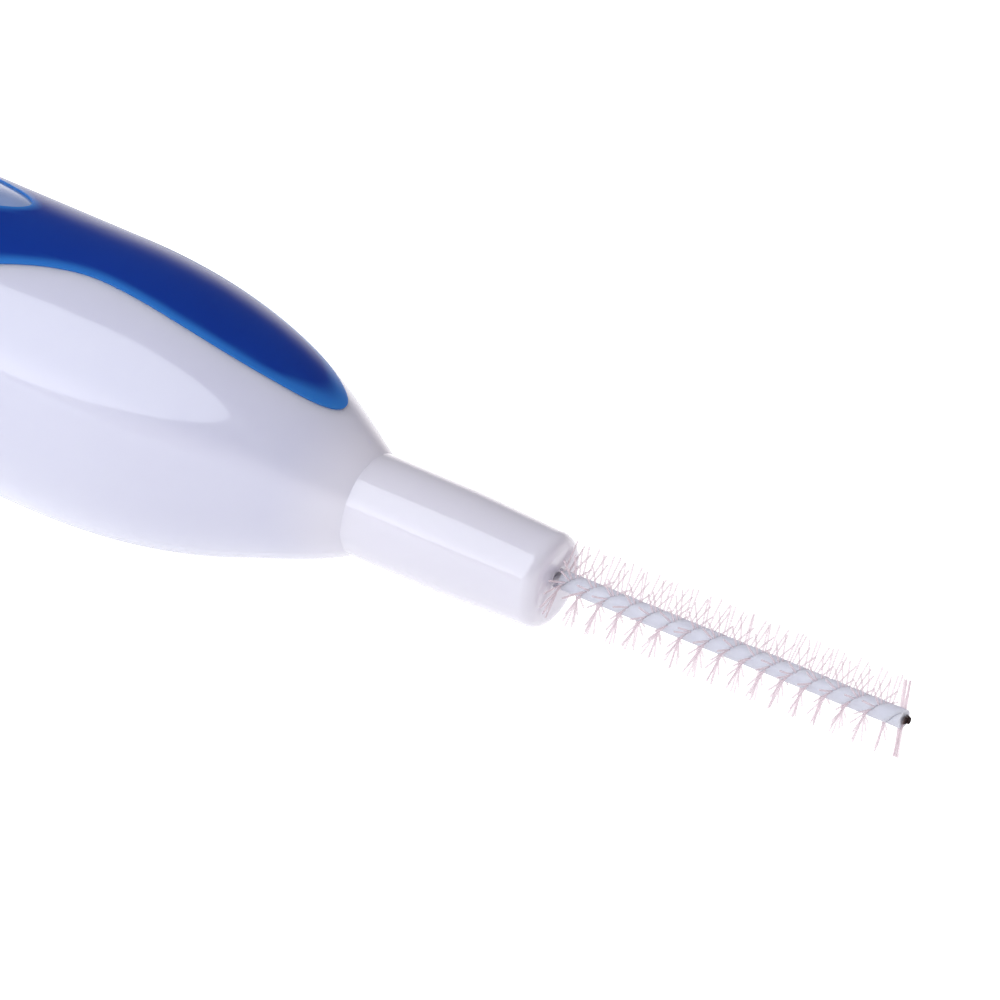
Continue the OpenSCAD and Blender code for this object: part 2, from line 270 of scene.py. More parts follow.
print("softbox", round(softbox_data.size, 3), "x", round(softbox_data.size_y, 3), "m")

# %% Surround it with a white room
ROOM_FILL = 0.65
WALL_GLOSS = 1.2
CEILING_GLOSS = 0.12
WALL_TOP = math.radians(0)
CEILING_FROM = math.radians(26)

world = bpy.data.worlds.new("white_surround")
bpy.context.scene.world = world
world.use_nodes = True
walls = world.node_tree
walls.nodes.clear()
rays = add_node(walls, "ShaderNodeLightPath")
direction = add_node(walls, "ShaderNodeTexCoord").outputs["Generated"]
height = add_node(walls, "ShaderNodeSeparateXYZ", None, {"Vector": direction}).outputs["Z"]
mirrored = add_node(walls, "ShaderNodeMapRange", {"interpolation_type": "SMOOTHSTEP"}, {
    "Value": height, "From Min": math.sin(WALL_TOP), "From Max": math.sin(CEILING_FROM),
    "To Min": WALL_GLOSS, "To Max": CEILING_GLOSS})
room = add_node(walls, "ShaderNodeMapRange", None, {
    "Value": rays.outputs["Is Glossy Ray"], "To Min": ROOM_FILL, "To Max": mirrored.outputs[0]})
plain = add_node(walls, "ShaderNodeMath", {"operation": "MAXIMUM"},
                 {0: rays.outputs["Is Camera Ray"], 1: rays.outputs["Is Transmission Ray"]})
strength = add_node(walls, "ShaderNodeMath", {"operation": "MAXIMUM"},
                    {0: room.outputs[0], 1: plain.outputs[0]})
sky = add_node(walls, "ShaderNodeBackground", None,
               {"Color": linear("FFFAFD"), "Strength": strength.outputs[0]})
add_node(walls, "ShaderNodeOutputWorld", None, {"Surface": sky.outputs[0]})
print("walls fade out", round(math.degrees(CEILING_FROM)), "degrees up")

# %% [markdown]
# ## Rings swept along the brush
# The handle, the neck and the cap are round at every place, but the body's centre line lies a
# little above the neck's. A spin would need one axis for all, so these pieces start as a circle
# that is extruded and scaled from ring to ring, and each ring has a centre height of its own.
# Points that come to lie within a thousandth of a millimetre of each other are welded into one.

# %% Sweep a circle from ring to ring
WELD = 0.001


def start_clean():
    """Leaves nothing selected, since an operator acts on all that is selected."""
    if bpy.context.object and bpy.context.object.mode != "OBJECT":
        bpy.ops.object.mode_set(mode="OBJECT")
    bpy.ops.object.select_all(action="DESELECT")


def make_active(piece):
    start_clean()
    piece.select_set(True)
    bpy.context.view_layer.objects.active = piece


def sweep_rings(name, rings, sides):
    """A closed round solid along X. Each ring is (x, centre height, radius) in millimetres.
    Where the last ring is the first one again, the solid is a tube."""
    start_clean()
    x, z, r = rings[0]
    tube = rings[-1] == rings[0]
    bpy.ops.mesh.primitive_circle_add(vertices=sides, radius=r * MM,
                                      fill_type="NOTHING" if tube else "NGON",
                                      location=(x * MM, 0, z * MM), rotation=(0, math.pi / 2, 0))
    piece = bpy.context.object
    piece.name = name
    bpy.ops.object.transform_apply(location=True, rotation=True, scale=True)
    bpy.ops.object.mode_set(mode="EDIT")
    bpy.ops.mesh.select_all(action="SELECT")
    for (x0, z0, r0), (x1, z1, r1) in zip(rings, rings[1:]):
        step = ((x1 - x0) * MM, 0, (z1 - z0) * MM)
        bpy.ops.mesh.extrude_region_move(TRANSFORM_OT_translate={"value": step})
        bpy.ops.transform.resize(value=(1, r1 / r0, r1 / r0),
                                 center_override=(x1 * MM, 0, z1 * MM))
    bpy.ops.mesh.select_all(action="SELECT")
    bpy.ops.mesh.remove_doubles(threshold=WELD * MM)
    bpy.ops.mesh.normals_make_consistent(inside=False)
    bpy.ops.object.mode_set(mode="OBJECT")
    print(name, len(piece.data.polygons), "faces from", len(rings), "rings")
    return piece


def apply_modifier(piece, kind, **settings):
    """Adds a modifier, sets it and applies it."""
    make_active(piece)
    made = piece.modifiers.new(kind.lower(), kind)
    for name, value in settings.items():
        setattr(made, name, value)
    bpy.ops.object.modifier_apply(modifier=made.name)


def smooth(piece, degrees):
    """Smooth shading, but a crisp edge wherever two faces meet at more than that angle."""
    make_active(piece)
    bpy.ops.object.shade_smooth_by_angle(angle=math.radians(degrees))


# %% [markdown]
# ## Outline of the handle
# The handle is one moulding of white polypropylene. From the neck it swells like a fish's head,
# steeply first and level at the end, runs straight, draws in to a waist, fills again and closes to
# a flat shoulder with the peg that carries the cap. Power and cosine curves give each stretch, so
# that the reflections run without a kink. The numbers repeat the solid's sizes, in millimetres.

# %% Radius and height of the body
NOSE_R = neck_r
BODY_R = 5.1
WAIST_R = 4.35
REAR_R = 4.9
SHOULDER_R = 3.3
SWELL_L = 12
BARREL_L = 9
WAIST_L = 12
RISE_L = 11
TAIL_L = 10
SWELL_POWER = 2.2
BODY_RISE = 0.28
RISE_OVER = 4

barrel_end = SWELL_L + BARREL_L
waist_at = barrel_end + WAIST_L
rear_top = waist_at + RISE_L
body_l = rear_top + TAIL_L


def ease(t):
    return (1 - math.cos(math.pi * t)) / 2


def swell(t):
    return 1 - (1 - t) ** SWELL_POWER


def body_radius(d):
    """Radius of the body at a distance behind the neck."""
    if d < SWELL_L:
        return NOSE_R + (BODY_R - NOSE_R) * swell(d / SWELL_L)
    if d < barrel_end:
        return BODY_R
    if d < waist_at:
        return BODY_R + (WAIST_R - BODY_R) * ease((d - barrel_end) / WAIST_L)
    if d < rear_top:
        return WAIST_R + (REAR_R - WAIST_R) * ease((d - waist_at) / RISE_L)
    return SHOULDER_R + (REAR_R - SHOULDER_R) * swell(1 - (d - rear_top) / TAIL_L)


def body_centre(d):
    """Height of the body's centre line, which climbs gently over the first few millimetres."""
    return axis_z + BODY_RISE * ease(min(d / RISE_OVER, 1))


print("body", body_l, "mm long; ends at x", round(root_x - body_l, 2))

# %% [markdown]
# ## The handle
# The rings start on the floor of the small sunk mouth where the wire comes out, cross the end face,
# round the rim and run back along the neck, the body and the peg. The plastic is moulded tight
# round the wire, so the wire simply passes through that floor. The first and last rings are much
# smaller than their neighbours, which leaves only a speck to be closed by one flat face. A flat is
# then cut along the belly by bisecting at the table's height.

# %% Draw the rings from the mouth to the shoulder
WIRE_RISE = 0.24
MOUTH_R = 0.34
MOUTH_L = 0.1
MOUTH_ROUND = 0.06
MOUTH_CENTRE = 1 / 8
MOUTH_STEPS = 6
NECK_END_R = 1.75
NECK_RIM = 0.55
FACE_STEPS = 8
RIM_STEPS = 18
DRAFT_STEPS = 6
LAND_STEPS = 4
BODY_STEPS = 210


def quarter(steps):
    """Sine and cosine pairs round a quarter turn."""
    turns = [math.pi / 2 * i / steps for i in range(steps + 1)]
    return [(math.sin(a), math.cos(a)) for a in turns]


wire_z = axis_z + WIRE_RISE
face_r = NECK_END_R - NECK_RIM
mouth_x = neck_end_x - MOUTH_L
mouth = [(mouth_x, wire_z, MOUTH_R * MOUTH_CENTRE), (mouth_x, wire_z, MOUTH_R)]
mouth += [(neck_end_x - MOUTH_ROUND * (1 - s), wire_z, MOUTH_R + MOUTH_ROUND * (1 - c))
          for s, c in quarter(MOUTH_STEPS)]
face = []
for i in range(1, FACE_STEPS + 1):
    share = i / FACE_STEPS
    radius = MOUTH_R + MOUTH_ROUND + (face_r - MOUTH_R - MOUTH_ROUND) * share
    face.append((neck_end_x, wire_z + (axis_z - wire_z) * ease(share), radius))
rim = [(neck_end_x - NECK_RIM * (1 - c), axis_z, face_r + NECK_RIM * s)
       for s, c in quarter(RIM_STEPS)[1:]]
draft_l = neck_end_x - NECK_RIM - root_x - neck_land
draft = [(neck_end_x - NECK_RIM - draft_l * i / DRAFT_STEPS, axis_z,
          NECK_END_R + (neck_r - NECK_END_R) * i / DRAFT_STEPS)
         for i in range(1, DRAFT_STEPS + 1)]
land = [(root_x + neck_land * (1 - i / LAND_STEPS), axis_z, neck_r)
        for i in range(1, LAND_STEPS + 1)]
body = []
for i in range(BODY_STEPS + 1):
    d = body_l * i / BODY_STEPS
    body.append((root_x - d, body_centre(d), body_radius(d)))
print("neck", round(neck_end_x - root_x, 2), "mm long")

# %% Add the shoulder and the peg
SHOULDER_ROUND = 0.3
PEG_FILLET = 0.25
PEG_CENTRE = 1 / 4
EDGE_STEPS = 12
FILLET_STEPS = 8

shoulder_x = root_x - body_l
body = [ring for ring in body if ring[0] > shoulder_x + SHOULDER_ROUND]
tail_z = body_centre(body_l)
edge_r = body_radius(body_l - SHOULDER_ROUND) - SHOULDER_ROUND
shoulder = [(shoulder_x + SHOULDER_ROUND * (1 - s), tail_z, edge_r + SHOULDER_ROUND * c)
            for s, c in quarter(EDGE_STEPS)]
fillet = []
for s, c in quarter(FILLET_STEPS):
    z = axis_z + (tail_z - axis_z) * (1 - s)
    fillet.append((shoulder_x - PEG_FILLET * (1 - c), z, neck_r + PEG_FILLET * (1 - s)))
peg = [(peg_end_x + 2 * NECK_RIM, axis_z, neck_r)]
peg += [(peg_end_x + NECK_RIM * (1 - s), axis_z, face_r + NECK_RIM * c)
        for s, c in quarter(EDGE_STEPS)]
peg.append((peg_end_x, axis_z, face_r * PEG_CENTRE))
print("shoulder at x", round(shoulder_x, 2), "peg", round(shoulder_x - peg_end_x, 2), "mm long")

# %% Sweep the handle and cut its belly flat
HANDLE_SIDES = 176
HANDLE_CREASE = 9

handle_rings = mouth + face + rim + draft + land + body + shoulder + fillet + peg
handle = sweep_rings("white_handle", handle_rings, HANDLE_SIDES)
make_active(handle)
bpy.ops.object.mode_set(mode="EDIT")
bpy.ops.mesh.select_all(action="SELECT")
bpy.ops.mesh.bisect(plane_co=(0, 0, 0), plane_no=(0, 0, 1), use_fill=True, clear_inner=True,
                    threshold=WELD * MM)
bpy.ops.object.mode_set(mode="OBJECT")
smooth(handle, HANDLE_CREASE)
print("handle", len(handle.data.polygons), "faces")

# %% [markdown]
# ## Outline of the soft grip
# The grip is a thin elastomer skin moulded into a pocket on top of the handle. Seen from above it
# is a pointed tongue that flares to a saddle round an oval window, and closes in a tongue again.
# Both outlines are drawn as seen from above. Bridging them would pair points badly round the sharp
# ends, so a grid is rolled up between them instead, row by row. It is then wrapped down on to the
# body, given its thickness and rounded along its rim.

# %% Draw the two outlines
GRIP_START = 1.78
TONGUE_W = 2.15
TONGUE_L = 8.8
NOSE_SHARE = 0.75
SADDLE_W = 4.4
FLARE_L = 9
SADDLE_L = 3
REAR_TONGUE_L = 11
TONGUE_POWER = 0.5
WINDOW_START = 15.45
WINDOW_L = 13
WINDOW_W = 1.8
grip_l = TONGUE_L + 2 * FLARE_L + SADDLE_L + REAR_TONGUE_L


def blunt(t):
    return (1 - (1 - min(t, 1)) ** 2) ** TONGUE_POWER


def grip_half(d):
    """Half width of the grip, seen from above, at a distance behind its front point."""
    flare = SADDLE_W - TONGUE_W
    close_at = TONGUE_L + FLARE_L + SADDLE_L
    if d < TONGUE_L:
        return TONGUE_W * blunt(d / (TONGUE_L * NOSE_SHARE))
    if d < TONGUE_L + FLARE_L:
        return TONGUE_W + flare * ease((d - TONGUE_L) / FLARE_L)
    if d < close_at:
        return SADDLE_W
    if d < close_at + FLARE_L:
        return TONGUE_W + flare * ease(1 - (d - close_at) / FLARE_L)
    return TONGUE_W * blunt((grip_l - d) / REAR_TONGUE_L)


def even_points(half_line, count):
    """Points at even steps along a line from end to end on one side, then back on the other."""
    lengths = [0]
    for (x0, y0), (x1, y1) in zip(half_line, half_line[1:]):
        lengths.append(lengths[-1] + math.hypot(x1 - x0, y1 - y0))
    found, k = [], 0
    for i in range(count // 2 + 1):
        want = lengths[-1] * i / (count // 2)
        while k < len(lengths) - 2 and lengths[k + 1] < want:
            k += 1
        t = (want - lengths[k]) / (lengths[k + 1] - lengths[k])
        (x0, y0), (x1, y1) = half_line[k], half_line[k + 1]
        found.append((x0 + (x1 - x0) * t, y0 + (y1 - y0) * t))
    return found + [(x, -y) for x, y in found[-2:0:-1]]


print("grip", grip_l, "mm long,", round(2 * grip_half(grip_l / 2), 2), "mm wide in the middle")

# %% Space their points evenly
OUTLINE_POINTS = 480
FINE_STEPS = 4000
fine = [ease(i / FINE_STEPS) for i in range(FINE_STEPS + 1)]
grip_side = [(root_x - GRIP_START - grip_l * t, grip_half(grip_l * t)) for t in fine]
grip_line = even_points(grip_side, OUTLINE_POINTS)
window_x = root_x - WINDOW_START - WINDOW_L / 2
window_side = [(window_x + WINDOW_L / 2 * math.cos(math.pi * t),
                WINDOW_W * math.sin(math.pi * t)) for t in fine]
window_line = even_points(window_side, OUTLINE_POINTS)
print("window", WINDOW_L, "x", 2 * WINDOW_W, "mm;", len(grip_line), "points on each outline")

# %% Roll a grid up between them and wrap it on the body
SHEET_Z = 20


def wrapped_sheet(name, outer, inner, rows, target):
    """A sheet between two outlines, dropped straight down on to the target. Its rows lie closer
    together towards the outlines."""
    start_clean()
    columns = len(outer)
    bpy.ops.mesh.primitive_grid_add(x_subdivisions=columns, y_subdivisions=rows, size=MM)
    sheet = bpy.context.object
    sheet.name = name
    for index, vertex in enumerate(sheet.data.vertices):
        row, column = divmod(index, columns + 1)
        (x0, y0), (x1, y1) = outer[column % columns], inner[column % columns]
        share = ease(row / rows)
        vertex.co = Vector((x0 + (x1 - x0) * share, y0 + (y1 - y0) * share, SHEET_Z)) * MM
    bpy.ops.object.mode_set(mode="EDIT")
    bpy.ops.mesh.select_all(action="SELECT")
    bpy.ops.mesh.remove_doubles(threshold=WELD * MM)
    bpy.ops.mesh.normals_make_consistent(inside=False)
    bpy.ops.object.mode_set(mode="OBJECT")
    if sheet.data.polygons[0].normal.z < 0:
        sheet.data.flip_normals()
    apply_modifier(sheet, "SHRINKWRAP", target=target, wrap_method="PROJECT", use_project_z=True,
                   use_negative_direction=True, use_positive_direction=False)
    return sheet


def thicken(sheet, above, below):
    """Gives a sheet a face that far above the body and a back that far below its surface."""
    full = above + below
    apply_modifier(sheet, "SOLIDIFY", thickness=full * MM, offset=2 * above / full - 1)


GRIP_T = 0.9
GRIP_PROUD = 0.08
GRIP_ROUND = 0.1
GRIP_RIM = math.radians(50)
GRIP_CREASE = 40
SHEET_ROWS = 16
grip = wrapped_sheet("blue_grip", grip_line, window_line, SHEET_ROWS, handle)
thicken(grip, GRIP_PROUD, GRIP_T)
apply_modifier(grip, "BEVEL", width=GRIP_ROUND * MM, segments=4, limit_method="ANGLE",
               angle_limit=GRIP_RIM)
smooth(grip, GRIP_CREASE)
print("grip", len(grip.data.polygons), "faces")

# %% [markdown]
# ## The pocket under the grip
# On the real handle the white plastic is moulded first, with a pocket that the blue material fills,
# and an island inside it that shows as the pale window. The same sheet, made thicker outwards, cuts
# that pocket, and an oval one lowers the island. Cutting leaves long odd faces whose shading would
# ripple, so the normals of an uncut copy are laid over the result, but only round the grip: at the
# crisp corner of the neck they would smear from one side to the other.

# %% Cut the pocket and lower the window
WINDOW_DROP = 0.05
WINDOW_SPARE = 0.04
OVAL_STRIDE = 4
CUT_ABOVE = 1.2

make_active(handle)
uncut = handle.copy()
uncut.data = handle.data.copy()
bpy.context.scene.collection.objects.link(uncut)

pocket = wrapped_sheet("pocket_cutter", grip_line, window_line, SHEET_ROWS, uncut)
thicken(pocket, CUT_ABOVE, GRIP_T)
wide = 1 + WINDOW_SPARE / WINDOW_W
oval = [(window_x + (x - window_x) * wide, y * wide) for x, y in window_line[::OVAL_STRIDE]]
middle = [(window_x, 0)] * len(oval)
window_cut = wrapped_sheet("window_cutter", oval, middle, SHEET_ROWS, uncut)
thicken(window_cut, CUT_ABOVE, -WINDOW_DROP)
for cutter in (pocket, window_cut):
    apply_modifier(handle, "BOOLEAN", object=cutter, operation="DIFFERENCE", solver="EXACT")
smooth(handle, HANDLE_CREASE)

cut_from = root_x - GRIP_START / 2
cut_to = root_x - GRIP_START - grip_l - GRIP_START / 2
near_cut = [v.index for v in handle.data.vertices
            if cut_to < v.co.x / MM < cut_from and v.co.z / MM > axis_z]
handle.vertex_groups.new(name="near_cut").add(near_cut, 1, "REPLACE")
apply_modifier(handle, "DATA_TRANSFER", object=uncut, use_loop_data=True,
               data_types_loops={"CUSTOM_NORMAL"}, loop_mapping="POLYINTERP_NEAREST",
               vertex_group="near_cut")
handle.vertex_groups.clear()
for spent in (pocket, window_cut, uncut):
    bpy.data.objects.remove(spent)
print("handle with pocket", len(handle.data.polygons), "faces,", len(near_cut), "corners laid over")

# %% [markdown]
# ## The twisted wire
# One steel wire is folded in half and its legs are twisted round each other like a left-hand screw.
# A Screw modifier winds a circle round the axis, but it keeps the circle square to the axis and not
# to the leg, so the circle is first stretched round the axis by the leg's slope. The fold at the
# tip is half a turn of the leg's last ring, spun over on to the other leg.

# %% Place the wire and its twist
PITCH = 1.65
HAND = -1
LEG_R = 0.125
STEEL_R = 0.11
WIRE_LEAN = math.radians(0.95)
tip_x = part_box("brush_wire")[1].x / MM
brush_l = (tip_x - neck_end_x) / math.cos(WIRE_LEAN)
wire_run = brush_l - LEG_R - STEEL_R
on_wire = (Matrix.Translation(Vector((neck_end_x, 0, wire_z)) * MM)
           @ Matrix.Rotation(-WIRE_LEAN, 4, "Y"))


def twist_at(x):
    """Angle of the first leg round the wire's axis, at a distance ahead of the neck's end."""
    return HAND * 2 * math.pi * x / PITCH


print("wire", round(brush_l, 2), "mm long,", round(wire_run / PITCH, 1), "turns")

# %% Wind one leg of the wire
STEPS_PER_TURN = 28


def ring_square_to_axis(name, radius, sides):
    """A ring of points round X, in the wire's own axes."""
    start_clean()
    bpy.ops.mesh.primitive_circle_add(vertices=sides, radius=radius * MM, fill_type="NOTHING",
                                      rotation=(0, math.pi / 2, 0))
    ring = bpy.context.object
    ring.name = name
    bpy.ops.object.transform_apply(location=True, rotation=True, scale=True)
    return ring


def wind(ring, start, end):
    """Turns a ring to the twist at its start, moves it there and winds it along to its end."""
    ring.location = (start * MM, 0, 0)
    ring.rotation_euler = (twist_at(start), 0, 0)
    bpy.ops.object.transform_apply(location=True, rotation=True, scale=True)
    turns = (end - start) / PITCH
    steps = round(turns * STEPS_PER_TURN)
    apply_modifier(ring, "SCREW", axis="X", angle=HAND * 2 * math.pi * turns,
                   screw_offset=(end - start) * MM, steps=steps, render_steps=steps,
                   use_merge_vertices=False)
    return ring


def wound_leg(name, start, end, sides):
    """A leg of the steel wire along X, open at both ends, in the wire's own axes."""
    leg = ring_square_to_axis(name, STEEL_R, sides)
    stretch = math.hypot(1, 2 * math.pi * LEG_R / PITCH)
    bpy.ops.object.mode_set(mode="EDIT")
    bpy.ops.mesh.select_all(action="SELECT")
    bpy.ops.transform.resize(value=(1, 1, stretch), center_override=(0, 0, 0))
    bpy.ops.transform.translate(value=(0, LEG_R * MM, 0))
    bpy.ops.object.mode_set(mode="OBJECT")
    return wind(leg, start, end)


WIRE_IN_NECK = 1.1
STEEL_SIDES = 14
steel = wound_leg("steel_wire", -WIRE_IN_NECK, wire_run, STEEL_SIDES)
print("one leg", len(steel.data.polygons), "faces")

# %% Turn the leg round at the tip
TINY = 0.01
FOLD_STEPS = 12


def select_where(piece, test):
    """Selects the vertices of a piece for which the test on their place, in mm, is true."""
    make_active(piece)
    bpy.ops.object.mode_set(mode="EDIT")
    bpy.ops.mesh.select_mode(type="VERT")
    bpy.ops.mesh.select_all(action="DESELECT")
    bpy.ops.object.mode_set(mode="OBJECT")
    for vertex in piece.data.vertices:
        vertex.select = test(vertex.co / MM)
    bpy.ops.object.mode_set(mode="EDIT")


out = Vector((0, math.cos(twist_at(wire_run)), math.sin(twist_at(wire_run))))
far_ring = [v.co / MM for v in steel.data.vertices if abs(v.co.x / MM - wire_run) < TINY]
middle = sum(far_ring, Vector()) / len(far_ring)
print("last ring is", round((middle - Vector((wire_run, 0, 0)) - LEG_R * out).length, 4), "mm off")
select_where(steel, lambda place: abs(place.x - wire_run) < TINY)
bpy.ops.mesh.spin(steps=FOLD_STEPS, angle=math.pi, center=(wire_run * MM, 0, 0),
                  axis=out.cross(along))
bpy.ops.object.mode_set(mode="OBJECT")
fold_x = max(v.co.x for v in steel.data.vertices) / MM
print("fold reaches", round(fold_x, 3), "of", round(brush_l, 3))

# %% Close the wire and lay it in the neck
STEEL_CREASE = 60


def add_other_half(piece, second):
    """Turns a second leg half a turn round the wire's axis and joins it to the first."""
    second.data.transform(Matrix.Rotation(math.pi, 4, "X"))
    make_active(piece)
    second.select_set(True)
    bpy.ops.object.join()


def close_tube(piece):
    """Merges doubles, fills the open ends and turns the faces outwards."""
    make_active(piece)
    bpy.ops.object.mode_set(mode="EDIT")
    bpy.ops.mesh.select_all(action="SELECT")
    bpy.ops.mesh.remove_doubles(threshold=WELD * MM)
    bpy.ops.mesh.fill_holes(sides=0)
    bpy.ops.mesh.select_all(action="SELECT")
    bpy.ops.mesh.normals_make_consistent(inside=False)
    bpy.ops.object.mode_set(mode="OBJECT")


add_other_half(steel, wound_leg("second_leg", -WIRE_IN_NECK, wire_run, STEEL_SIDES))
close_tube(steel)
steel.data.transform(on_wire)
smooth(steel, STEEL_CREASE)
print("steel", len(steel.data.polygons), "faces")

# %% [markdown]
# ## The plastic coat on the wire
# A pale plastic covers both legs, so that no steel touches the gum. Twisting presses the two
# sleeves flat against the filaments, so together they make a nearly round core with a fine groove
# that winds along each side. Each sleeve starts as a circle whose inner half is flattened. The coat
# begins a little way out of the neck, where the bare wire shows dark, and ends just short of the
# fold.

# %% Make the coat
COAT_OUT = 0.355
COAT_SIDE = 0.34
COAT_MIDDLE = 0.03
COAT_FLAT = 0.008
FLATTEN_POWER = 0.15
COAT_START = 0.2
COAT_STOP = 0.15
COAT_ROUND = 0.025
COAT_EDGE = math.radians(60)
COAT_CREASE = 50
SLEEVE_SIDES = 28


def wound_sleeve(name, start, end, sides):
    """The sleeve of one leg, flat towards the other one, in the wire's own axes."""
    sleeve = ring_square_to_axis(name, 1, sides)
    for vertex in sleeve.data.vertices:
        outwards, sideways = vertex.co.y / MM, vertex.co.z / MM
        if outwards > 0:
            y = COAT_MIDDLE + (COAT_OUT - COAT_MIDDLE) * outwards
        else:
            y = COAT_MIDDLE - (COAT_MIDDLE - COAT_FLAT) * (-outwards) ** FLATTEN_POWER
        vertex.co = Vector((0, y, COAT_SIDE * sideways)) * MM
    return wind(sleeve, start, end)


coat_end = wire_run - COAT_STOP
coat = wound_sleeve("wire_coat", COAT_START, coat_end, SLEEVE_SIDES)
add_other_half(coat, wound_sleeve("second_sleeve", COAT_START, coat_end, SLEEVE_SIDES))
close_tube(coat)
apply_modifier(coat, "BEVEL", width=COAT_ROUND * MM, segments=3, limit_method="ANGLE",
               angle_limit=COAT_EDGE)
coat.data.transform(on_wire)
smooth(coat, COAT_CREASE)
print("coat", len(coat.data.polygons), "faces")

# %% [markdown]
# ## The bristles
# The filaments are nylon, pinched side by side between the legs, so the twist turns each one a
# little further than the last and they fan out to a brush. One filament is modelled with a slight
# bow and rounded ends. Its copies are placed by the twist, each turned and tipped a little at
# random from a fixed seed, because cut nylon never stands quite straight. The last few, next to the
# fold, aren't held apart by the twist: their lower ends lie in one bunch and their upper ends fan
# out.

# %% Model one filament
FILAMENTS = 164
FILAMENT_R = 0.038
BRUSH_R = 1.5
BRUSH_END_R = 1.4
BRISTLE_START = 0.1
WIRE_NOSE = 0.42
FILAMENT_SHARE = 0.66
FILAMENT_BOW = 0.07
FILAMENT_SIDES = 6
RING_HEIGHTS = [-1, -0.975, -0.6, -0.2, 0.2, 0.6, 0.975, 1]
RING_WIDTHS = [0.5, 1, 1, 1, 1, 1, 1, 0.5]


def one_filament(name, bow):
    """A filament of half length 1 along Z that bows by that share of it."""
    start_clean()
    bpy.ops.mesh.primitive_circle_add(vertices=FILAMENT_SIDES, fill_type="NGON",
                                      radius=FILAMENT_R * MM * RING_WIDTHS[0],
                                      location=(0, 0, RING_HEIGHTS[0] * MM))
    filament = bpy.context.object
    filament.name = name
    bpy.ops.object.transform_apply(location=True, rotation=True, scale=True)
    bpy.ops.object.mode_set(mode="EDIT")
    bpy.ops.mesh.select_all(action="SELECT")
    for i in range(1, len(RING_HEIGHTS)):
        h0, h1 = RING_HEIGHTS[i - 1], RING_HEIGHTS[i]
        sideways = bow * (h1 * abs(h1) - h0 * abs(h0))
        bpy.ops.mesh.extrude_region_move(
            TRANSFORM_OT_translate={"value": (sideways * MM, 0, (h1 - h0) * MM)})
        grow = RING_WIDTHS[i] / RING_WIDTHS[i - 1]
        centre = (bow * (h1 * abs(h1) + 1) * MM, 0, h1 * MM)
        bpy.ops.transform.resize(value=(grow, grow, 1), center_override=centre)
    bpy.ops.mesh.select_all(action="SELECT")
    bpy.ops.mesh.normals_make_consistent(inside=False)
    bpy.ops.object.mode_set(mode="OBJECT")
    filament.data.transform(Matrix.Translation((-bow * MM, 0, 0)))
    return filament


filament = one_filament("one_filament", FILAMENT_BOW)
print("one filament", len(filament.data.polygons), "faces")

# %% Copy it round the twist
TURN_SPREAD = math.radians(4.5)
TIP_SPREAD = math.radians(2)
LENGTH_SPREAD = 0.06
END_BUNCH = 6
BUNCH_REACH = 1.33
BUNCH_FROM_TIP = 0.17
BUNCH_LEAN = math.radians(-10)
BUNCH_FAN = math.radians(-8)
BUNCH_SPREAD = math.radians(2.25)
SEED = 20
BRISTLE_CREASE = 80
draw = random.Random(SEED)
bristle_l = brush_l - WIRE_NOSE - BRISTLE_START
room = bristle_l / (FILAMENTS + 1 - FILAMENT_SHARE)
copies = []
for i in range(FILAMENTS):
    x = BRISTLE_START + room * (i + FILAMENT_SHARE / 2)
    reach = BRUSH_R + (BRUSH_END_R - BRUSH_R) * x / bristle_l - LENGTH_SPREAD * draw.random()
    turned = twist_at(x) + draw.gauss(0, TURN_SPREAD)
    tipped = draw.gauss(0, TIP_SPREAD)
    if i >= FILAMENTS - END_BUNCH:
        reach = BUNCH_REACH
        tipped = BUNCH_LEAN + BUNCH_FAN * (FILAMENTS - 1 - i) / (END_BUNCH - 1)
        turned = draw.gauss(-LIFT_ROUND_AXIS, BUNCH_SPREAD)
        x = brush_l - BUNCH_FROM_TIP + reach * math.sin(tipped)
    copy = filament.copy()
    copy.data = filament.data.copy()
    bpy.context.scene.collection.objects.link(copy)
    copy.data.transform(Matrix.Translation((x * MM, 0, 0)) @ Matrix.Rotation(turned, 4, "X")
                        @ Matrix.Rotation(tipped, 4, "Y")
                        @ Matrix.Rotation(draw.uniform(0, 2 * math.pi), 4, "Z")
                        @ Matrix.Diagonal((1, 1, reach, 1)))
    copies.append(copy)
bpy.data.objects.remove(filament)
print(len(copies), "filaments, one to every", round(room, 3), "mm")

# %% Join the copies
start_clean()
for copy in copies:
    copy.select_set(True)
bristles = copies[0]
bpy.context.view_layer.objects.active = bristles
bpy.ops.object.join()
bristles.name = "nylon_bristles"
bristles.data.transform(on_wire)
smooth(bristles, BRISTLE_CREASE)
print("bristles", len(bristles.data.polygons), "faces")

# %% [markdown]
# ## The travel cap
# The cap is a thin clear tube with a domed end, a small vent that lets the brush dry, and a ring
# round its mouth to pull by. It is pushed on the peg at the tail, as it is carried in use. Its
# profile runs along the outside, through the vent and back along the bore, so it is swept as one
# closed ring.

# %% Draw the outside of the cap
CAP_GAP = 0.04
CAP_WALL = 0.75
CAP_END = 0.9
LIP_PROUD = 0.22
LIP_L = 1.2
LIP_ROUND = 0.1
VENT_R = 0.6
LIP_STEPS = 6
WALL_STEPS = 16
DOME_STEPS = 20
cap_r = neck_r + CAP_GAP
cap_out_r = cap_r + CAP_WALL
lip_r = cap_out_r + LIP_PROUD
outside = [(cap_mouth_x - LIP_ROUND * (1 - s), axis_z, lip_r - LIP_ROUND * (1 - c))
           for c, s in quarter(LIP_STEPS)]
outside += [(cap_mouth_x - LIP_L + LIP_ROUND * (1 - s), axis_z, lip_r - LIP_ROUND * (1 - c))
            for s, c in quarter(LIP_STEPS)]
bore_end_x = cap_end_x + CAP_END
dome_from = bore_end_x + CAP_END
wall_from = cap_mouth_x - LIP_L - LIP_PROUD
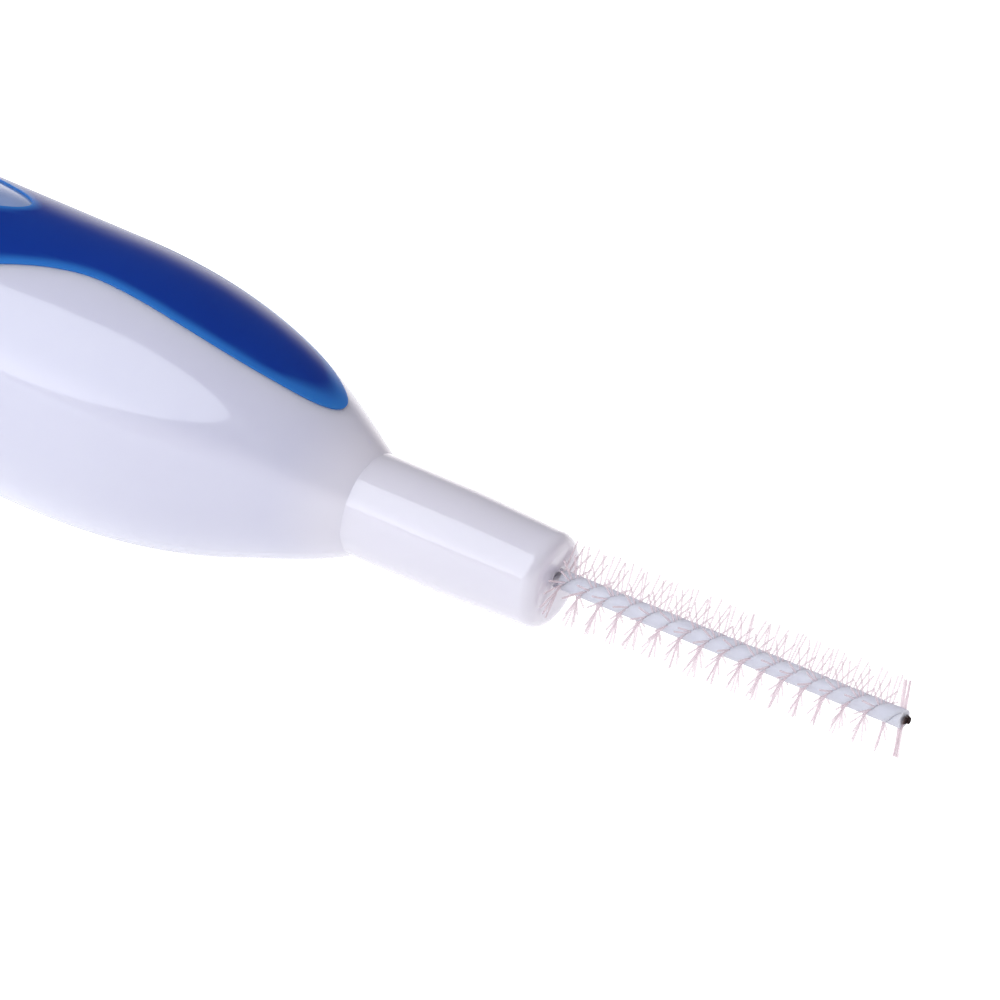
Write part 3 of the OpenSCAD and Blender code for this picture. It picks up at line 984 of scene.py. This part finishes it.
outside += [(wall_from + (dome_from - wall_from) * i / WALL_STEPS, axis_z, cap_out_r)
            for i in range(WALL_STEPS + 1)]
outside += [(dome_from - 2 * CAP_END * s, axis_z, VENT_R + (cap_out_r - VENT_R) * c)
            for s, c in quarter(DOME_STEPS)[1:-1]]
print("cap", round(2 * cap_out_r, 2), "mm across,", round(2 * lip_r, 2), "at the lip")

# %% Draw its inside and sweep it
BORE_END_STEPS = 12
CAP_SIDES = 96
inside = [(cap_end_x, axis_z, VENT_R), (bore_end_x, axis_z, VENT_R)]
inside += [(bore_end_x + (cap_r - VENT_R) * (1 - c) / 2, axis_z, VENT_R + (cap_r - VENT_R) * s)
           for s, c in quarter(BORE_END_STEPS)[1:]]
inside.append((cap_mouth_x, axis_z, cap_r))
cap = sweep_rings("clear_cap", outside + inside + outside[:1], CAP_SIDES)
print("cap", round(cap_mouth_x - cap_end_x, 2), "mm long")

# %% [markdown]
# ## White polypropylene
# The handle is injection-moulded polypropylene from a polished mould. Its skin mirrors crisply but
# is never quite flat: it waves by about a hundredth of a millimetre, and the gloss clouds a little.
# Some light goes in and comes out again, which softens the shade. The thin neck lets more light
# through than the thick body, and that light is painted into its colour, so the neck is painted
# whiter. Its white is a cool grey with a breath of violet. The island in the grip's window is the
# same plastic, painted darker and bluer as painted shade and painted blue bounce light in its
# sunk recess.

# %% White plastic
NECK_PAINTED_LIGHT = "DAD9E3"
PAINTED_LIGHT_FROM = 2.5
WHITE_CLOUD = 6
GLOSS_CLOUD = 0.7
WHITE_WAVE = 2.4
WHITE_WAVE_HEIGHT = 0.012
WHITE_PEEL = 0.25
WHITE_PEEL_HEIGHT = 0.0006


def white_polypropylene(name, darker, lighter):
    material, tree = new_material(name)
    place = add_node(tree, "ShaderNodeTexCoord").outputs["Object"]
    clouds = add_node(tree, "ShaderNodeTexNoise", None,
                      {"Vector": place, "Scale": per_mm(WHITE_CLOUD), "Detail": 3})
    tint = add_node(tree, "ShaderNodeMix", {"data_type": "RGBA"},
                    {0: clouds.outputs[0], 6: linear(darker), 7: linear(lighter)})
    # Painted light: the colour turns whiter towards the neck, for the light that shines through its
    # thin plastic.
    forward = add_node(tree, "ShaderNodeSeparateXYZ", None, {"Vector": place}).outputs["X"]
    thin = add_node(tree, "ShaderNodeMapRange", {"interpolation_type": "SMOOTHSTEP"}, {
        "Value": forward, "From Min": (root_x - PAINTED_LIGHT_FROM) * MM, "From Max": root_x * MM})
    tint = add_node(tree, "ShaderNodeMix", {"data_type": "RGBA"},
                    {0: thin.outputs[0], 6: tint.outputs[2], 7: linear(NECK_PAINTED_LIGHT)})
    gloss_grain = add_node(tree, "ShaderNodeTexNoise", None,
                           {"Vector": place, "Scale": per_mm(GLOSS_CLOUD), "Detail": 4})
    gloss = add_node(tree, "ShaderNodeMapRange", None,
                     {"Value": gloss_grain.outputs[0], "To Min": 0.12, "To Max": 0.24})
    waves = add_node(tree, "ShaderNodeTexNoise", None,
                     {"Vector": place, "Scale": per_mm(WHITE_WAVE), "Detail": 1})
    skin = add_node(tree, "ShaderNodeBump", None, {
        "Height": waves.outputs[0], "Strength": 1, "Distance": WHITE_WAVE_HEIGHT * MM})
    peel = add_node(tree, "ShaderNodeTexNoise", None,
                    {"Vector": place, "Scale": per_mm(WHITE_PEEL), "Detail": 2})
    grained = add_node(tree, "ShaderNodeBump", None, {
        "Height": peel.outputs[0], "Strength": 1, "Distance": WHITE_PEEL_HEIGHT * MM,
        "Normal": skin.outputs[0]})
    plastic = add_node(tree, "ShaderNodeBsdfPrincipled", None, {
        "Base Color": tint.outputs[2], "Roughness": gloss.outputs[0], "IOR": 1.49,
        "Normal": grained.outputs[0], "Subsurface Weight": 0.6, "Subsurface Scale": 1.2 * MM,
        "Subsurface Radius": (1.0, 0.95, 1.0),
        "Coat Weight": 1, "Coat Roughness": 0.04, "Coat IOR": 1.6, "Coat Normal": skin.outputs[0]})
    add_node(tree, "ShaderNodeOutputMaterial", None, {"Surface": plastic.outputs[0]})
    return material


# The second finish is the same white painted darker and bluer: painted shade and painted blue bounce
# light.
for finish, darker, lighter in (("white_polypropylene_moulded", "CACBDD", "D1D3E2"),
                                ("polypropylene_painted_shade_blue", "869ECE", "92AADA")):
    handle.data.materials.append(white_polypropylene(finish, darker, lighter))
print("handle is in", [material.name for material in handle.data.materials])

# %% Paint shade on the window
PAINTED_SHADE_OVER = 0.3
# Faces of the sunk window take the finish with painted shade.
for face_of_handle in handle.data.polygons:
    place = face_of_handle.center / MM
    ahead = (place.x - window_x) / (WINDOW_L / 2 + PAINTED_SHADE_OVER)
    in_window = ahead ** 2 + (place.y / (WINDOW_W + PAINTED_SHADE_OVER)) ** 2 < 1
    face_of_handle.material_index = 1 if in_window and place.z > tail_z + BODY_R / 2 else 0
print(sum(f.material_index for f in handle.data.polygons), "faces in the window")

# %% [markdown]
# ## Blue elastomer
# The grip is a thermoplastic elastomer, moulded over the plastic. Its skin is smooth but soft, with
# a grain of about a tenth of a millimetre. The blue is deep and slightly clear: along its thin rim,
# and in the point of the tongue, the white beneath shines through and lights it up, and that light
# is painted into the colour as a lighter blue. Each corner of the mesh therefore gets a value for
# how near the rim it lies, and the colour follows that value.

# %% Measure how near the rim each corner lies
RIM_FADE = 0.4
POINT_FADE = 0.9
POINT_L = 2.2

outline_points = [Vector((x, y, 0)) for x, y in grip_line + window_line]
outline_tree = kdtree.KDTree(len(outline_points))
for index, point in enumerate(outline_points):
    outline_tree.insert(point, index)
outline_tree.balance()

rim_values = grip.data.attributes.new("rim", "FLOAT", "POINT")
for vertex in grip.data.vertices:
    x, y = vertex.co.x / MM, vertex.co.y / MM
    away = outline_tree.find(Vector((x, y, 0)))[2]
    from_point = root_x - GRIP_START - x
    fade = RIM_FADE + POINT_FADE * max(0, 1 - from_point / POINT_L)
    rim_values.data[vertex.index].value = max(0, 1 - away / fade)
print("rim fades over", RIM_FADE, "mm, and over", RIM_FADE + POINT_FADE, "mm at the point")

# %% Blue soft plastic
BLUE_CLOUD = 4
BLUE_WAVE = 1.8
BLUE_WAVE_HEIGHT = 0.012
BLUE_GRAIN = 0.12
BLUE_GRAIN_HEIGHT = 0.001


def blue_elastomer():
    material, tree = new_material("blue_elastomer_satin")
    place = add_node(tree, "ShaderNodeTexCoord").outputs["Object"]
    clouds = add_node(tree, "ShaderNodeTexNoise", None,
                      {"Vector": place, "Scale": per_mm(BLUE_CLOUD), "Detail": 3})
    deep = add_node(tree, "ShaderNodeMix", {"data_type": "RGBA"},
                    {0: clouds.outputs[0], 6: linear("042D86"), 7: linear("083794")})
    # Painted light: towards the rim and the point, the blue is painted lighter.
    rim = add_node(tree, "ShaderNodeAttribute", {"attribute_name": "rim"})
    lit = add_node(tree, "ShaderNodeMapRange", {"interpolation_type": "SMOOTHSTEP"},
                   {"Value": rim.outputs["Fac"], "To Max": 0.9})
    tint = add_node(tree, "ShaderNodeMix", {"data_type": "RGBA"},
                    {0: lit.outputs[0], 6: deep.outputs[2], 7: linear("2C76C4")})
    grain = add_node(tree, "ShaderNodeTexNoise", None,
                     {"Vector": place, "Scale": per_mm(BLUE_GRAIN), "Detail": 2})
    waves = add_node(tree, "ShaderNodeTexNoise", None,
                     {"Vector": place, "Scale": per_mm(BLUE_WAVE), "Detail": 1})
    skin = add_node(tree, "ShaderNodeBump", None, {
        "Height": waves.outputs[0], "Strength": 1, "Distance": BLUE_WAVE_HEIGHT * MM})
    skin = add_node(tree, "ShaderNodeBump", None, {
        "Height": grain.outputs[0], "Strength": 1, "Distance": BLUE_GRAIN_HEIGHT * MM,
        "Normal": skin.outputs[0]})
    satin = add_node(tree, "ShaderNodeMapRange", None,
                     {"Value": grain.outputs[0], "To Min": 0.16, "To Max": 0.26})
    rubber = add_node(tree, "ShaderNodeBsdfPrincipled", None, {
        "Base Color": tint.outputs[2], "Roughness": satin.outputs[0], "IOR": 1.45,
        "Specular IOR Level": 0.35, "Normal": skin.outputs[0],
        "Subsurface Weight": 0.3, "Subsurface Scale": 0.35 * MM,
        "Subsurface Radius": (0.15, 0.35, 1.0)})
    add_node(tree, "ShaderNodeOutputMaterial", None, {"Surface": rubber.outputs[0]})
    return material


grip.data.materials.append(blue_elastomer())
print("grip is in", grip.data.materials[0].name)

# %% [markdown]
# ## Steel, coat and nylon
# The wire is drawn stainless steel with fine lines that run along it, dulled by the film that
# drawing leaves. The real lines are too fine to show, so they are drawn a few hundredths of a
# millimetre wide and ten times as long. The steel is grey at the neck, and nearly black-brown at
# the fold, browned by heat. The coat is a pale lilac-grey polymer with a soft gloss. The nylon is
# clear: light passes along and through each filament and leaks out of its sides, shown as a faint
# painted glow that the filament gives off itself, so only its sides show, as thin rosy lines. It
# hardly shades what lies behind it, so its shadow is left out.

# %% Drawn steel
BROWN_FROM = 0.5
DRAWN_LINE = 0.03
LINE_STRETCH = 10


def drawn_steel():
    material, tree = new_material("drawn_stainless_steel")
    place = add_node(tree, "ShaderNodeTexCoord").outputs["Object"]
    drawn = add_node(tree, "ShaderNodeMapping", None,
                     {"Vector": place, "Scale": (1 / LINE_STRETCH, 1, 1)})
    lines = add_node(tree, "ShaderNodeTexNoise", None,
                     {"Vector": drawn.outputs[0], "Scale": per_mm(DRAWN_LINE), "Detail": 2})
    grey = add_node(tree, "ShaderNodeMix", {"data_type": "RGBA"},
                    {0: lines.outputs[0], 6: linear("C6C4C8"), 7: linear("E4E2E6")})
    brown = add_node(tree, "ShaderNodeMix", {"data_type": "RGBA"},
                     {0: lines.outputs[0], 6: linear("2A1614"), 7: linear("4A2E2A")})
    along_wire = add_node(tree, "ShaderNodeSeparateXYZ", None, {"Vector": place}).outputs["X"]
    burnt = add_node(tree, "ShaderNodeMapRange", {"interpolation_type": "SMOOTHSTEP"}, {
        "Value": along_wire, "From Min": (tip_x - BROWN_FROM) * MM,
        "From Max": (tip_x - LEG_R - STEEL_R) * MM})
    tint = add_node(tree, "ShaderNodeMix", {"data_type": "RGBA"},
                    {0: burnt.outputs[0], 6: grey.outputs[2], 7: brown.outputs[2]})
    dull = add_node(tree, "ShaderNodeMapRange", None,
                    {"Value": lines.outputs[0], "To Min": 0.45, "To Max": 0.65})
    metal = add_node(tree, "ShaderNodeBsdfPrincipled", None, {
        "Base Color": tint.outputs[2], "Metallic": 0.7, "Roughness": dull.outputs[0]})
    add_node(tree, "ShaderNodeOutputMaterial", None, {"Surface": metal.outputs[0]})
    return material


steel.data.materials.append(drawn_steel())
print("wire is in", steel.data.materials[0].name)

# %% Pale polymer coat
COAT_FLOW = 0.35
COAT_FLOW_HEIGHT = 0.006


def pale_coat():
    material, tree = new_material("pale_polymer_coat")
    place = add_node(tree, "ShaderNodeTexCoord").outputs["Object"]
    flow = add_node(tree, "ShaderNodeTexNoise", None,
                    {"Vector": place, "Scale": per_mm(COAT_FLOW), "Detail": 3})
    tint = add_node(tree, "ShaderNodeMix", {"data_type": "RGBA"},
                    {0: flow.outputs[0], 6: linear("C9CCD8"), 7: linear("D5D8E2")})
    skin = add_node(tree, "ShaderNodeBump", None, {
        "Height": flow.outputs[0], "Strength": 1, "Distance": COAT_FLOW_HEIGHT * MM})
    polymer = add_node(tree, "ShaderNodeBsdfPrincipled", None, {
        "Base Color": tint.outputs[2], "Roughness": 0.35, "IOR": 1.49, "Normal": skin.outputs[0],
        "Subsurface Weight": 0.7, "Subsurface Scale": 0.4 * MM,
        "Subsurface Radius": (1.0, 1.0, 1.0)})
    add_node(tree, "ShaderNodeOutputMaterial", None, {"Surface": polymer.outputs[0]})
    return material


coat.data.materials.append(pale_coat())
print("coat is in", coat.data.materials[0].name)

# %% Clear nylon
NYLON_CLOUD = 0.3


def clear_nylon():
    material, tree = new_material("clear_nylon_filament")
    place = add_node(tree, "ShaderNodeTexCoord").outputs["Object"]
    batch = add_node(tree, "ShaderNodeTexNoise", None,
                     {"Vector": place, "Scale": per_mm(NYLON_CLOUD), "Detail": 2})
    tint = add_node(tree, "ShaderNodeMix", {"data_type": "RGBA"},
                    {0: batch.outputs[0], 6: linear("E0D0D6"), 7: linear("ECDEE3")})
    # The emission is a painted glow, standing in for light that leaks through the clear nylon.
    nylon = add_node(tree, "ShaderNodeBsdfPrincipled", None, {
        "Base Color": tint.outputs[2], "Roughness": 0.35, "IOR": 1.53, "Transmission Weight": 0.1,
        "Alpha": 0.52, "Emission Color": linear("FFE8EE"), "Emission Strength": 0.03})
    add_node(tree, "ShaderNodeOutputMaterial", None, {"Surface": nylon.outputs[0]})
    return material


bristles.data.materials.append(clear_nylon())
bristles.visible_shadow = False
print("bristles are in", bristles.data.materials[0].name)

# %% [markdown]
# ## Clear cap plastic
# The cap is moulded from clear polystyrene. It is nearly as clear as glass, a little blue where it
# is thick, and its polished skin waves faintly where the melt has flowed.

# %% Clear polystyrene
CAP_FLOW = 1.6
CAP_FLOW_HEIGHT = 0.006


def clear_polystyrene():
    material, tree = new_material("clear_polystyrene")
    place = add_node(tree, "ShaderNodeTexCoord").outputs["Object"]
    flow = add_node(tree, "ShaderNodeTexNoise", None,
                    {"Vector": place, "Scale": per_mm(CAP_FLOW), "Detail": 1})
    skin = add_node(tree, "ShaderNodeBump", None, {
        "Height": flow.outputs[0], "Strength": 1, "Distance": CAP_FLOW_HEIGHT * MM})
    gloss = add_node(tree, "ShaderNodeMapRange", None,
                     {"Value": flow.outputs[0], "To Min": 0.02, "To Max": 0.08})
    clear = add_node(tree, "ShaderNodeBsdfPrincipled", None, {
        "Base Color": linear("DAE7EE"), "Roughness": gloss.outputs[0], "IOR": 1.59,
        "Transmission Weight": 0.9, "Normal": skin.outputs[0]})
    add_node(tree, "ShaderNodeOutputMaterial", None, {"Surface": clear.outputs[0]})
    return material


cap.data.materials.append(clear_polystyrene())
print("cap is in", cap.data.materials[0].name)

# %% [markdown]
# ## Tie every piece to its body
# Each piece rides on the body that its solid belongs to and stands for that solid, and its row
# also gives the material slot of the record that matches its finish. The brush is one body, and the
# cap slides off it.

# %% Ride and replace
pieces = [
    (handle, "brush", "handle", "white_plastic"),
    (grip, "brush", "grip", "blue_soft"),
    (steel, "brush", "brush_wire", "steel_wire"),
    (coat, "brush", "wire_coating", "wire_plastic"),
    (bristles, "brush", "bristles", "nylon"),
    (cap, "cap", "cap", "clear_plastic"),
]
for piece, body_name, node_name, slot_name in pieces:
    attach(piece, body_name)
    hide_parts(node_name)
print(sum(len(piece.data.polygons) for piece, *_ in pieces), "faces in all")

# %% Compare the sizes
seen_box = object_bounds()
sizes = {"solid": [list(corner) for corner in cad_box], "visual": [list(corner) for corner in seen_box]}
for label, (low, high) in sizes.items():
    print(label, [round((b - a) / MM, 2) for a, b in zip(low, high)], "mm")
